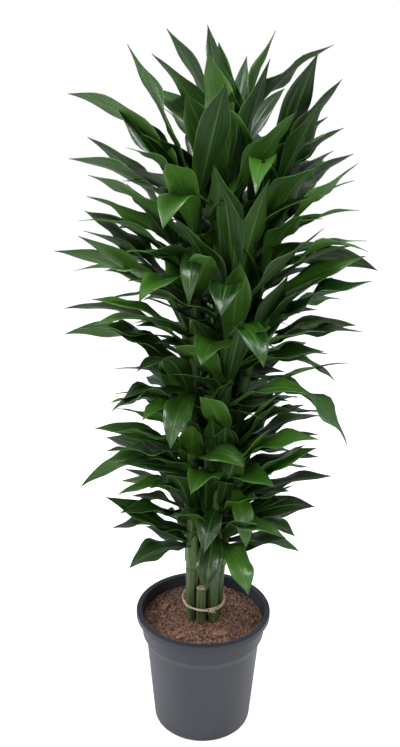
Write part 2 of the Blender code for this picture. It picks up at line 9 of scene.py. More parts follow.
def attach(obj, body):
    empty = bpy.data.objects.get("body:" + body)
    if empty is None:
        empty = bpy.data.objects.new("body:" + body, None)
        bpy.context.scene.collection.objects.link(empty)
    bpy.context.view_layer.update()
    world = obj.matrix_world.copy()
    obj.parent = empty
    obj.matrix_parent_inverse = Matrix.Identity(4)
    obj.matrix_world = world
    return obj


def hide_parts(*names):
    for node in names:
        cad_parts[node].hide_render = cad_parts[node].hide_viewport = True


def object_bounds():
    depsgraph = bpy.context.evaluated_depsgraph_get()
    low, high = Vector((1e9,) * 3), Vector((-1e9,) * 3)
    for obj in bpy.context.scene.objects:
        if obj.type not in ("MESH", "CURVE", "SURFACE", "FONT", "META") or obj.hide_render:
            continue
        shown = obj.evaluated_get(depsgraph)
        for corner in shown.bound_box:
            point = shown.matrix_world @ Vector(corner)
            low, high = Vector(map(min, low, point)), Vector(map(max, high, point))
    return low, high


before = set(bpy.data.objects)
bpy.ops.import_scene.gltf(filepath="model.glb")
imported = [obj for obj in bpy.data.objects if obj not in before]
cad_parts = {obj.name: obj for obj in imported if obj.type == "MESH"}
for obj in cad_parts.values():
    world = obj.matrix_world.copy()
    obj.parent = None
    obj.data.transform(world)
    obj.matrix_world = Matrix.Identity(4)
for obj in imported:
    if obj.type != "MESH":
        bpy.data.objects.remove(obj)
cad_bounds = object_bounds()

# The potted corn plant: fine surfaces, finishes, studio and camera. Metres, +Z up, pot axis on Z.

CM = 0.01
POT_HEIGHT = 0.250
POT_WALL = 0.0020
POT_FLOOR = 0.0030
RIM_R = 0.1350
LIP_DROP = 0.0120
COLLAR_R = 0.1250
COLLAR_LOW = 0.200
STEP_LOW = 0.185
BODY_R = 0.1145
BASE_R = 0.0985
SOIL_EDGE_Z = 0.226
SOIL_CROWN_Z = 0.233
SOCKET_FLOOR_Z = 0.160
TOUCH_GAP = 0.0003
TIE_Z = 0.272
LEAF_THICK = 0.0007
ROOT_BELOW_TOP = 0.027
GOLDEN_ANGLE = 137.5
FREE_LEAF_PITCH = 0.025
WIDER = 1.35                # the blades' spread beside the solid model's narrow ones
SEED = 11
BOX_SPARE = 0.006
FLOOR_LIFT = 0.70           # keeps the pale floor white for the camera

# Canes: place around the pot's axis, then the top's X, Y and height, in centimetres
SLOT_R = 0.0275
CANE_FOOT_R = 0.0100
CANE_TOP_R = 0.0072
LEAN_POWER = 1.3            # canes leave the soil upright and lean out higher up
CANES = {
    1: (210, -2.0, -5.0, 112),
    2: (313, 4.5, -8.0, 97),
    3: (5, 10.5, -3.0, 104),
    4: (56, 11.0, 4.0, 111),
    5: (107, 4.0, 8.0, 118),
    6: (159, -4.0, 4.5, 100),
    7: (None, 3.5, -0.5, 115),
}
PRUNED_SLOT = 261
PRUNED_TOP_Z = 0.312
PRUNED_R = 0.0092

# Sleeves of leaf bases around the canes
SLEEVE_WALL = 0.0022
LEAFY_FROM_Z = 0.350
SLEEVE_TOP_INSET = 0.004
STOREYS = ("lower", "middle", "upper")

# Leaves that shape the plant's front and outline. Each row: cane, root height, tip X, Y, Z
# (centimetres), droop (degrees that the leaf bends down along its length), greatest width
# (centimetres) and roll (degrees that the blade turns about its own length).
SHAPED_LEAVES = (
    # crown at the top
    (5, 115, -7, 6, 135, 15, 4.5, 20),
    (1, 110, -13, -2, 132, 5, 4.5, 35),
    (7, 111, 0, -4, 131, 8, 5.5, 0),
    (7, 114, 0, 3, 135.5, 8, 4.5, 0),
    (5, 114, 2, 6, 133, 8, 5.0, 0),
    (5, 112, 6, 10, 131, 10, 4.0, 0),
    (7, 113, 10, 0, 134.5, 12, 5.5, -15),
    (7, 108, 9, -4, 130, 6, 4.5, 0),
    (4, 109, 17, -2, 131, 10, 5.0, -10),
    (4, 110, 21.5, 0, 127, 15, 4.0, -20),
    (4, 107, 19, -4, 121, 35, 4.5, 0),
    (4, 106, 23, 4, 119, 35, 3.5, -30),
    # upper left
    (1, 111, -24, 3, 124, 45, 4.0, 45),
    (6, 99, -21, 5, 117, 35, 3.5, 50),
    (1, 106, -13, -10, 116, 45, 4.5, 0),
    (1, 108, -11, -3, 118, 40, 3.0, 20),
    (1, 103.5, -23.5, -2, 113.5, 35, 4.5, 30),
    (1, 102, -14, -7, 110.5, 60, 4.5, 0),
    (1, 99, -19.5, -8, 111.5, 25, 6.0, 15),
    (6, 96, -20.5, -3, 107.5, 25, 4.5, 20),
    (6, 93, -21.5, 4, 104, 35, 3.5, 30),
    (1, 106, -7, -20, 104, 85, 5.5, 0),
    # front, above the middle
    (3, 101, 16.5, -12, 113.5, 40, 6.0, 0),
    (4, 110, 7, -18, 109, 95, 5.0, 0),
    (2, 90.5, 1, -12, 114, 20, 5.5, 0),
    (4, 104, 20, 7, 118, 30, 5.0, 0),
    (2, 91.5, 2, -22, 91, 95, 6.5, 0),
    (1, 99, -3, -17, 91, 95, 4.0, 0),
    (2, 88.5, 9, -14, 112, 15, 4.0, 0),
    (2, 86.5, -5, -16, 106, 30, 4.5, 0),
    # upper right
    (4, 101, 24, -2, 115, 30, 5.5, -15),
    (4, 103, 22, 7, 115, 30, 4.0, 0),
    (4, 98, 25.5, 4, 110, 35, 4.0, -20),
    (3, 98, 25.5, -3, 105.5, 45, 4.5, -10),
    (3, 96, 18.5, -9, 105, 60, 4.0, 0),
    (3, 92, 27, -4, 100.5, 45, 5.0, -10),
    (4, 89, 26, 1, 99, 30, 4.0, -20),
    (4, 93, 31, 4, 93.5, 50, 3.5, -70),
    # left, at the middle
    (6, 88, -22, 2, 101, 30, 4.5, 20),
    (1, 86, -22, -4, 101, 20, 3.5, 50),
    (6, 86, -27.5, 3, 97, 35, 3.5, 50),
    (1, 90, -23, -6, 95, 45, 5.0, 10),
    (1, 93, -13.5, -11, 99.5, 45, 4.0, 0),
    (1, 92, -11, -17, 92, 75, 5.5, 0),
    (1, 88, -13, -13, 95, 50, 4.5, 0),
    (6, 81, -26, 2, 86.5, 40, 3.5, 40),
    (1, 83, -20, -7, 85.5, 50, 4.5, 0),
    (6, 77, -26.5, 4, 81, 45, 3.5, 60),
    (1, 80, -12, -9, 86.5, 50, 4.0, 0),
    (1, 76, -12, -9, 78, 85, 5.0, 0),
    # right, at the middle
    (4, 88, 19.5, 5, 94.5, 30, 3.5, 0),
    (4, 85, 22.5, 2, 93, 12, 5.5, 0),
    (3, 84, 28, -6, 94, 20, 6.0, 5),
    (4, 80, 28, 5, 83, 25, 3.5, -60),
    (4, 78, 28, -1, 83.5, 30, 5.0, 0),
    (4, 75, 23.5, 6, 77, 30, 3.0, 0),
    (3, 78, 23.5, -3, 74, 60, 4.5, 0),
    (3, 75, 25.5, -7, 63, 60, 5.5, 0),
    (3, 76, 13, -9, 96, 8, 5.0, 0),
    # front, under the middle
    (2, 82, -1, -20, 82.5, 75, 5.5, 0),
    (2, 74, 5.5, -16, 90, 12, 3.5, 0),
    (2, 86, 9, -20, 82, 85, 5.0, 0),
    (1, 72, -6, -16, 66, 90, 5.5, 0),
    (2, 56, 1, -10, 71, 15, 3.5, 0),
    (2, 56, -2.5, -16, 58, 75, 5.0, 0),
    # lower left
    (1, 72, -17, -6, 69, 60, 4.5, 0),
    (6, 66, -18.5, 5, 67, 50, 3.0, 30),
    (1, 69, -11, -12, 70, 75, 4.5, 0),
    (1, 60, -17, -8, 66.5, 30, 4.5, 20),
    (1, 57, -17.5, -12, 64.5, 30, 5.5, 10),
    (6, 58, -17, 2, 64, 20, 3.5, 30),
    (1, 55, -18, -10, 61.5, 45, 6.0, 0),
    (6, 55, -24.5, 3, 49.5, 60, 3.0, 60),
    (6, 49, -16.5, 3, 51.5, 30, 3.5, 50),
    (6, 46, -14, -1, 50.5, 30, 3.5, 50),
    (1, 48, -6, -14, 61.5, 30, 4.5, 0),
    (1, 51, -10, -9, 56, 60, 3.5, 0),
    (6, 43, -8, -1, 48, 50, 3.5, 20),
    (1, 43, -17.5, -6, 46, 35, 5.0, 10),
    (1, 40, -14, -9, 39, 55, 5.0, 0),
    # lower right
    (3, 69, 14.5, 0, 71.5, 40, 4.5, 0),
    (3, 60, 13, -5, 72, 20, 4.0, 0),
    (4, 59, 18.5, 1, 69, 35, 4.5, 0),
    (2, 52, 11, -10, 69, 12, 5.5, 0),
    (3, 57, 21, -2, 64, 45, 4.0, 0),
    (3, 50, 18, -6, 64, 12, 5.0, 0),
    (4, 53, 22, 1, 58, 35, 4.0, 0),
    (3, 49, 24, -3, 56, 25, 4.5, 0),
    (3, 46, 15.5, -7, 55, 35, 4.5, 0),
    (2, 48, 9.5, -10, 55, 35, 4.0, 0),
    (3, 43, 15.5, -2, 51, 30, 3.5, 0),
    (3, 45, 17, -7, 45, 55, 5.0, 0),
    (3, 40, 18.5, -3, 39.5, 50, 4.5, 0),
    (3, 53, 7.5, -9, 43, 85, 4.0, 0),
    # hanging over the soil
    (2, 42, 8, -15, 37, 75, 5.0, 0),
    (2, 44, 0.5, -13, 36.5, 85, 5.0, 0),
    (2, 49, 0, -14, 45, 85, 4.5, 0),
)


# ---------------------------------------------------------------- canes and leaves, placing

def cane_foot(cane):
    slot = CANES[cane][0]
    if slot is None:
        return Vector((0.0, 0.0))
    return SLOT_R * Vector((cos(radians(slot)), sin(radians(slot))))


def cane_top_z(cane):
    return CANES[cane][3] * CM


def cane_point(cane, z):
    """Centre line of a cane at height z."""
    _, top_x, top_y, _ = CANES[cane]
    foot = cane_foot(cane)
    rise = max(0.0, (z - SOIL_CROWN_Z) / (cane_top_z(cane) - SOIL_CROWN_Z))
    lean = rise ** LEAN_POWER
    place = foot.lerp(Vector((top_x, top_y)) * CM, lean)
    return Vector((place.x, place.y, z))


def cane_radius(cane, z):
    share = (z - SOCKET_FLOOR_Z) / (cane_top_z(cane) - SOCKET_FLOOR_Z)
    return CANE_FOOT_R + (CANE_TOP_R - CANE_FOOT_R) * share


def storey_ends(cane):
    """Heights where the sleeves of a cane begin and end, lowest first."""
    top = cane_top_z(cane) - SLEEVE_TOP_INSET
    return [LEAFY_FROM_Z + (top - LEAFY_FROM_Z) * i / len(STOREYS) for i in range(len(STOREYS) + 1)]


def blade_share(s):
    """Width of the blade at s (0 root, 1 tip) as a share of its greatest width."""
    body = (s / 0.535) ** 1.15 * ((1.0 - s) / 0.465)
    return body + 0.30 * (1.0 - s) ** 9


def unit_spine(droop):
    """Points of a unit-long spine that starts level and bends down by droop degrees."""
    count = 24
    points = [Vector((0.0, 0.0))]
    for k in range(count):
        angle = -radians(droop) * ((k + 0.5) / count) ** 1.5
        points.append(points[-1] + Vector((cos(angle), sin(angle))) / count)
    return points


def highest_root(cane):
    return cane_top_z(cane) - ROOT_BELOW_TOP


def leaf_to_tip(cane, root_z, tip, droop, width, roll):
    """A leaf given by the point its tip reaches."""
    root_z = min(root_z, highest_root(cane))
    root = cane_point(cane, root_z)
    reach = tip - root
    flat = hypot(reach.x, reach.y)
    end = unit_spine(droop)[-1]
    rise = atan2(reach.z, flat) - atan2(end.y, end.x)
    return {"cane": cane, "root_z": root_z, "azimuth": atan2(reach.y, reach.x), "rise": rise,
            "length": reach.length / end.length, "droop": droop, "width": width,
            "roll": radians(roll), "bend": 0.0}


def storey_of(leaf):
    ends = storey_ends(leaf["cane"])
    above = [i for i in range(len(STOREYS)) if leaf["root_z"] >= ends[i]]
    return above[-1]


def shaped_leaves():
    return [leaf_to_tip(cane, z * CM, Vector((tx, ty, tz)) * CM, droop,
                        width * CM * WIDER * (1.0 - 0.35 * max(0, droop - 60) / 35), roll)
            for cane, z, tx, ty, tz, droop, width, roll in SHAPED_LEAVES]


def free_leaves(chance):
    """Leaves that spiral up each cane by the golden angle and fill the plant."""
    leaves = []
    for cane in CANES:
        low = LEAFY_FROM_Z + 0.015
        high = highest_root(cane)
        count = round((high - low) / FREE_LEAF_PITCH)
        for i in range(count + 1):
            share = (i / count) ** 0.85
            root_z = low + (high - low) * share
            young = max(0.0, 1.0 - (high - root_z) / 0.16)
            azimuth = radians(GOLDEN_ANGLE * i + 50 * cane + chance.uniform(-12, 12))
            front = max(0.0, -sin(azimuth))         # leaves on the open side stand steeper
            leaves.append({
                "cane": cane, "root_z": root_z, "azimuth": azimuth,
                "rise": radians(chance.uniform(20, 50) + 24 * max(young, front)),
                "length": chance.uniform(0.165, 0.205) + 0.045 * share,
                "droop": chance.uniform(15, 60) - 15 * young,
                "width": chance.uniform(0.042, 0.064),
                "roll": radians(chance.uniform(-32, 32)),
                "bend": chance.uniform(-0.12, 0.12)})
    return leaves


def blade_point(leaf, s, u):
    """Point of a blade at s along it (0 root, 1 tip) and u across it (-1 to 1)."""
    heading = Vector((cos(leaf["azimuth"]), sin(leaf["azimuth"]), 0.0))
    across = Vector((-heading.y, heading.x, 0.0))
    start = cane_radius(leaf["cane"], leaf["root_z"]) + TOUCH_GAP + 0.4 * SLEEVE_WALL
    root = cane_point(leaf["cane"], leaf["root_z"]) + heading * start
    spine = leaf["spine"]
    last = len(spine) - 1
    k = min(int(s * last), last - 1)
    point = spine[k].lerp(spine[k + 1], s * last - k)
    step = (spine[k + 1] - spine[k]).normalized()
    turn_x, turn_y = cos(leaf["rise"]), sin(leaf["rise"])
    length = leaf["length"] - start
    center = root + heading * ((point.x * turn_x - point.y * turn_y) * length)
    center.z += (point.x * turn_y + point.y * turn_x) * length
    center += across * (leaf["bend"] * length * s * (1.0 - s))
    tangent = heading * (step.x * turn_x - step.y * turn_y)
    tangent.z = step.x * turn_y + step.y * turn_x
    side = Matrix.Rotation(leaf["roll"] * min(1.0, 1.6 * s), 3, tangent) @ across
    normal = side.cross(tangent).normalized() * -1.0
    half = 0.5 * leaf["width"] * blade_share(s) * (1.0 - 0.5 * (max(0.0, s - 0.55) / 0.45) ** 2)
    if s > 0.999:
        half = 0.0003
    fold = radians(26.0 - 16.0 * s)
    clasp = max(0.0, 1.0 - s / 0.10)        # the root wraps around the cane
    wave = leaf["wave"] * half * abs(u) ** 3 * sin(s * leaf["waves"] + leaf["phase"] * (1 + u))
    lift = half * abs(u) * sin(fold) * (1.0 - 0.35 * abs(u)) + wave * sin(pi * s)
    place = center + side * (half * u * cos(fold)) + normal * lift
    return place - heading * (clasp * start * 0.9 * abs(u) ** 2)


def keep_in_box(leaf):
    """Shorten a leaf until its tip stays in the solid model's box."""
    low, high = cad_bounds
    while True:
        tip = blade_point(leaf, 1.0, 0.0)
        inside = all(low[i] - BOX_SPARE < tip[i] < high[i] + BOX_SPARE for i in range(3))
        if inside or leaf["length"] < 0.08:
            return
        leaf["length"] *= 0.96


# ---------------------------------------------------------------- material helpers

def new_material(name, color, roughness):
    material = bpy.data.materials.new(name)
    material.use_nodes = True
    shader = material.node_tree.nodes["Principled BSDF"]
    shader.inputs["Base Color"].default_value = (*color, 1.0)
    shader.inputs["Roughness"].default_value = roughness
    return material, material.node_tree.nodes, material.node_tree.links, shader


def noise_node(nodes, links, source, scale, detail=4.0, rough=0.55):
    texture = nodes.new("ShaderNodeTexNoise")
    texture.inputs["Scale"].default_value = scale
    texture.inputs["Detail"].default_value = detail
    texture.inputs["Roughness"].default_value = rough
    links.new(source, texture.inputs["Vector"])
    return texture.outputs["Fac"]


def ramp_node(nodes, links, source, stops):
    ramp = nodes.new("ShaderNodeValToRGB")
    parts = ramp.color_ramp.elements
    while len(parts) < len(stops):
        parts.new(0.5)
    for part, (place, color) in zip(parts, stops):
        part.position = place
        part.color = (*color, 1.0)
    links.new(source, ramp.inputs["Fac"])
    return ramp.outputs["Color"]


def math_node(nodes, links, operation, first, second=None, third=None):
    node = nodes.new("ShaderNodeMath")
    node.operation = operation
    for slot, value in zip(node.inputs, (first, second, third)):
        if isinstance(value, (int, float)):
            slot.default_value = value
        elif value is not None:
            links.new(value, slot)
    return node.outputs[0]


def mix_node(nodes, links, factor, first, second):
    node = nodes.new("ShaderNodeMix")
    node.data_type = "RGBA"
    for slot, value in ((node.inputs[0], factor), (node.inputs[6], first), (node.inputs[7], second)):
        if isinstance(value, float):
            slot.default_value = value
        elif isinstance(value, tuple):
            slot.default_value = (*value, 1.0)
        else:
            links.new(value, slot)
    return node.outputs[2]


def bump_node(nodes, links, height, distance, strength=1.0):
    bump = nodes.new("ShaderNodeBump")
    bump.inputs["Strength"].default_value = strength
    bump.inputs["Distance"].default_value = distance
    links.new(height, bump.inputs["Height"])
    return bump.outputs["Normal"]


# ---------------------------------------------------------------- materials

def leaf_material(name, dark, mid, bright, rough, coat):
    """Leaf skin: parallel vein streaks in the bump, their colour lifted toward bright green as painted
    sheen, a paler midrib and edge, and a dry brown tip.
    """
    material, nodes, links, shader = new_material(name, mid, rough)
    coords = nodes.new("ShaderNodeTexCoord")
    apart = nodes.new("ShaderNodeSeparateXYZ")
    links.new(coords.outputs["UV"], apart.inputs[0])
    across, along = apart.outputs["X"], apart.outputs["Y"]
    tone = nodes.new("ShaderNodeAttribute")
    tone.attribute_name = "tone"
    cloud = noise_node(nodes, links, coords.outputs["Object"], 22.0)
    mixed = math_node(nodes, links, "MULTIPLY_ADD", cloud, 0.35, tone.outputs["Fac"])
    color = ramp_node(nodes, links, mixed, [(0.12, dark), (0.50, mid), (1.0, bright)])
    lines = nodes.new("ShaderNodeCombineXYZ")
    links.new(math_node(nodes, links, "MULTIPLY", across, 26.0), lines.inputs[0])
    links.new(math_node(nodes, links, "MULTIPLY", along, 1.4), lines.inputs[1])
    links.new(math_node(nodes, links, "MULTIPLY", tone.outputs["Fac"], 50.0), lines.inputs[2])
    streaks = noise_node(nodes, links, lines.outputs[0], 1.0, 2.0)
    # painted sheen: where the streak noise is high, the colour is lifted toward the brightest green to
    # stand in for sheen along the pleats; only the bump is real relief
    painted_sheen_stripe = math_node(nodes, links, "MULTIPLY_ADD", streaks, 1.8, -0.75)
    color = mix_node(nodes, links, math_node(nodes, links, "MAXIMUM", painted_sheen_stripe, 0.0), color, bright)
    off = math_node(nodes, links, "ABSOLUTE", math_node(nodes, links, "SUBTRACT", across, 0.5))
    rib = math_node(nodes, links, "LESS_THAN", off, 0.022)
    edge = math_node(nodes, links, "GREATER_THAN", off, 0.482)
    pale = tuple(min(1.0, c * 1.6 + 0.02) for c in bright)
    color = mix_node(nodes, links, math_node(nodes, links, "MULTIPLY", rib, 0.55), color, pale)
    color = mix_node(nodes, links, math_node(nodes, links, "MULTIPLY", edge, 0.6), color, pale)
    tip = math_node(nodes, links, "GREATER_THAN", along, 0.955)
    color = mix_node(nodes, links, tip, color, (0.05, 0.028, 0.014))
    links.new(color, shader.inputs["Base Color"])
    links.new(bump_node(nodes, links, streaks, 0.0016), shader.inputs["Normal"])
    shader.inputs["Coat Weight"].default_value = coat
    shader.inputs["Coat Roughness"].default_value = 0.18
    glow = nodes.new("ShaderNodeBsdfTranslucent")
    links.new(color, glow.inputs["Color"])
    both = nodes.new("ShaderNodeMixShader")
    both.inputs[0].default_value = 0.14
    links.new(shader.outputs[0], both.inputs[1])
    links.new(glow.outputs[0], both.inputs[2])
    links.new(both.outputs[0], nodes["Material Output"].inputs["Surface"])
    return material


def cane_material(name, low, high):
    """Cane skin: finely streaked."""
    material, nodes, links, shader = new_material(name, high, 0.5)
    coords = nodes.new("ShaderNodeTexCoord")
    streak = nodes.new("ShaderNodeMapping")
    streak.inputs["Scale"].default_value = (300.0, 300.0, 20.0)
    links.new(coords.outputs["Object"], streak.inputs["Vector"])
    grain = noise_node(nodes, links, streak.outputs["Vector"], 1.0, 3.0)
    color = ramp_node(nodes, links, grain, [(0.3, low), (0.7, high)])
    links.new(color, shader.inputs["Base Color"])
    links.new(bump_node(nodes, links, grain, 0.0005), shader.inputs["Normal"])
    return material


def grainy_material(name, stops, rough, scale, depth):
    material, nodes, links, shader = new_material(name, stops[-1][1], rough)
    coords = nodes.new("ShaderNodeTexCoord")
    grain = noise_node(nodes, links, coords.outputs["Object"], scale, 6.0, 0.65)
    links.new(ramp_node(nodes, links, grain, stops), shader.inputs["Base Color"])
    links.new(bump_node(nodes, links, grain, depth), shader.inputs["Normal"])
    return material


# ---------------------------------------------------------------- pieces

def add_piece(name, bm, materials, node, smooth=True):
    """Finish a mesh, join it to the frame and let it stand for its solid."""
    bmesh.ops.recalc_face_normals(bm, faces=bm.faces)
    mesh = bpy.data.meshes.new(name)
    bm.to_mesh(mesh)
    bm.free()
    mesh.polygons.foreach_set("use_smooth", [smooth] * len(mesh.polygons))
    piece = bpy.data.objects.new(name, mesh)
    bpy.context.scene.collection.objects.link(piece)
    for material in materials:
        mesh.materials.append(material)
    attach(piece, "root")
    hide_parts(node)
    return piece


def turn_profile(bm, profile, steps):
    """Turn (radius, height) points about Z; points on the axis close the shape."""
    verts = [bm.verts.new((r, 0.0, z)) for r, z in profile]
    edges = [bm.edges.new(pair) for pair in zip(verts, verts[1:])]
    bmesh.ops.spin(bm, geom=verts + edges, cent=(0, 0, 0), axis=(0, 0, 1), angle=2 * pi,
                   steps=steps, use_merge=True, use_duplicate=False)
    bmesh.ops.remove_doubles(bm, verts=bm.verts, dist=0.00002)


def tube(bm, centers, radii, sides, cap=True):
    """A round rod through the centres, its ends capped."""
    count = len(centers)
    made = bmesh.ops.create_circle(bm, cap_ends=cap, radius=1.0, segments=sides)["verts"]
    shape = [v.co.copy() for v in made]
    loop = made
    for i in range(count):
        if i:
            edges = [e for e in {e for v in loop for e in v.link_edges}
                     if e.verts[0] in loop and e.verts[1] in loop]
            loop_new = bmesh.ops.extrude_edge_only(bm, edges=edges)["geom"]
            fresh = [g for g in loop_new if isinstance(g, bmesh.types.BMVert)]
            order = sorted(fresh, key=lambda v: min(range(sides),
                                                    key=lambda k: (v.co - loop[k].co).length))
            loop = order
        ahead = centers[min(i + 1, count - 1)] - centers[max(i - 1, 0)]
        turn = ahead.to_track_quat("Z", "Y").to_matrix()
        for v, co in zip(loop, shape):
            v.co = centers[i] + turn @ (co * radii[i])
    if cap:
        bm.faces.new(loop)


def make_pot(material):
    rim, top = RIM_R, POT_HEIGHT
    lip_low = top - LIP_DROP
    profile = [(0.0, POT_FLOOR), (BASE_R - POT_WALL, POT_FLOOR), (BODY_R - POT_WALL, STEP_LOW),
               (COLLAR_R - 0.004, COLLAR_LOW), (COLLAR_R - POT_WALL, top - 0.004),
               (COLLAR_R - 0.0012, top - 0.0006), (COLLAR_R + 0.0008, top),
               (rim - 0.0022, top), (rim - 0.0006, top - 0.0006), (rim, top - 0.0022),
               (rim, lip_low + 0.0006), (rim - 0.0006, lip_low), (rim - 0.0014, lip_low),
               (rim - POT_WALL, lip_low + 0.0006), (rim - POT_WALL, top - 0.003),
               (rim - 0.003, top - POT_WALL), (COLLAR_R + 0.001, top - POT_WALL),
               (COLLAR_R, top - 0.003), (COLLAR_R - 0.002, COLLAR_LOW + 0.001),
               (COLLAR_R - 0.0024, COLLAR_LOW - 0.0006), (BODY_R + 0.0006, STEP_LOW + 0.0008),
               (BODY_R, STEP_LOW - 0.001), (BASE_R + 0.0004, 0.0062), (BASE_R - 0.0005, 0.0032),
               (BASE_R - 0.0026, 0.0009), (BASE_R - 0.0060, 0.0), (0.0, 0.0)]
    bm = bmesh.new()
    turn_profile(bm, profile, 128)
    piece = add_piece("fine_pot", bm, [material], "nursery_pot")
    piece.data.set_sharp_from_angle(angle=radians(38))
    return piece


def soil_z(radius):
    dome = 0.5 + 0.5 * cos(pi * min(1.0, radius / 0.120))
    return SOIL_EDGE_Z + (SOIL_CROWN_Z - SOIL_EDGE_Z) * dome


def make_soil(material):
    """Crumbly soil: a turned bed whose top is pushed up and down in clods."""
    edge = COLLAR_R - POT_WALL - 0.0016
    profile = [(edge * i / 56, soil_z(edge * i / 56)) for i in range(57)]
    profile += [(COLLAR_R - 0.0048, COLLAR_LOW), (BODY_R - POT_WALL - 0.0006, STEP_LOW),
                (BASE_R - POT_WALL - 0.0006, POT_FLOOR + 0.0005), (0.0, POT_FLOOR + 0.0005)]
    bm = bmesh.new()
    turn_profile(bm, profile, 180)
    for v in bm.verts:
        flat = hypot(v.co.x, v.co.y)
        if v.co.z < COLLAR_LOW + 0.005 or flat > edge - 0.0005:
            continue
        clods = noise.turbulence(v.co * 75.0, 3, True) - 0.45
        crumbs = noise.noise(v.co * 420.0)
        v.co.z += 0.0050 * clods + 0.0022 * crumbs
    return add_piece("crumbly_soil", bm, [material], "potting_soil")


def make_crumbs(material, name, count, sizes, seed):
    """Loose crumbs and bark bits scattered over the soil."""
    chance = random.Random(seed)
    bm = bmesh.new()
    for _ in range(count):
        flat = 0.118 * chance.random() ** 0.5
        angle = chance.uniform(0.0, 2 * pi)
        size = chance.uniform(*sizes)
        made = bmesh.ops.create_icosphere(bm, subdivisions=1, radius=1.0)["verts"]
        turn = Matrix.Rotation(chance.uniform(0, 2 * pi), 3, "Z") @ Matrix.Rotation(
            chance.uniform(-0.5, 0.5), 3, "X")
        shape = Matrix.Diagonal((size, size * chance.uniform(0.4, 0.8),
                                 size * chance.uniform(0.25, 0.6)))
        place = Vector((flat * cos(angle), flat * sin(angle), soil_z(flat) + 0.0006))
        for v in made:
            v.co = place + turn @ (shape @ (v.co * chance.uniform(0.75, 1.15)))
    return add_piece(name, bm, [material], "potting_soil", smooth=False)


def make_cane(cane, material):
    """A ringed cane from its socket to its top."""
    low, high = SOCKET_FLOOR_Z, cane_top_z(cane)
    centers, radii = [], []
    count = round((high - low) / 0.0045)
    for i in range(count + 1):
        z = low + (high - low) * i / count
        step = (z / 0.0135 + cane * 0.37) % 1.0
        centers.append(cane_point(cane, z))
        radii.append(cane_radius(cane, z) + 0.0006 * (step - 0.5))
    bm = bmesh.new()
    tube(bm, centers, radii, 20)
    return add_piece(f"ringed_cane_{cane}", bm, [material], f"cane_{cane}")


def make_sleeve(cane, storey, material):
    """Clasping leaf bases around a cane, each one stepping out over the next above."""
    ends = storey_ends(cane)
    low, high = ends[storey], ends[storey + 1] - TOUCH_GAP
    centers, radii = [], []
    count = round((high - low) / 0.004)
    for i in range(count + 1):
        z = low + (high - low) * i / count
        step = (z / FREE_LEAF_PITCH + cane * 0.31) % 1.0
        centers.append(cane_point(cane, z))
        radii.append(cane_radius(cane, z) + TOUCH_GAP + SLEEVE_WALL * (1.0 - 0.45 * step))
    bm = bmesh.new()
    tube(bm, centers, radii, 20)
    name = f"leaf_bases_{cane}_{STOREYS[storey]}"
    return add_piece(name, bm, [material], f"cane_{cane}_{STOREYS[storey]}_leaves")


def make_foliage(cane, storey, leaves, top_skin, under_skin):
    """All blades of one sleeve, as thin sheets given thickness."""
    members = [leaf for leaf in leaves if (leaf["cane"], storey_of(leaf)) == (cane, storey)]
    if not members:
        return None
    bm = bmesh.new()
    bm.loops.layers.uv.new("UVMap")
    tone = bm.verts.layers.float.new("tone")
    for leaf in members:
        made = bmesh.ops.create_grid(bm, x_segments=6, y_segments=18, size=1.0, calc_uvs=True)["verts"]
        for v in made:
            v[tone] = leaf["tone"]
            v.co = blade_point(leaf, 1.0 - (0.5 - 0.5 * v.co.y) ** 1.25, -v.co.x)
    name = f"blades_{cane}_{STOREYS[storey]}"
    mesh = bpy.data.meshes.new(name)
    bm.to_mesh(mesh)
    bm.free()
    mesh.shade_smooth()
    piece = bpy.data.objects.new(name, mesh)
    bpy.context.scene.collection.objects.link(piece)
    mesh.materials.append(top_skin)
    mesh.materials.append(under_skin)
    thick = piece.modifiers.new("Thickness", "SOLIDIFY")
    thick.thickness = LEAF_THICK
    thick.offset = -1.0
    thick.material_offset = 1
    thick.material_offset_rim = 0
    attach(piece, "root")
    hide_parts(f"cane_{cane}_{STOREYS[storey]}_leaves")
    return piece


def make_pruned_cane(skin, wood):
    place = SLOT_R * Vector((cos(radians(PRUNED_SLOT)), sin(radians(PRUNED_SLOT)), 0.0))
    low, high = SOCKET_FLOOR_Z + 0.02, PRUNED_TOP_Z
    centers, radii = [], []
    for i in range(34):
        z = low + (high - 0.0008 - low) * i / 33
        centers.append(place + Vector((0.0, 0.0, z)))
        radii.append(PRUNED_R + 0.0004 * ((z / 0.012) % 1.0 - 0.5))
    centers.append(place + Vector((0.0, 0.0, high)))
    radii.append(PRUNED_R - 0.001)
    bm = bmesh.new()
    tube(bm, centers, radii, 24)
    for face in bm.faces:
        if face.calc_center_median().z > high - 0.0006:
            face.material_index = 1
    return add_piece("stub", bm, [skin, wood], "pruned_cane", smooth=False)


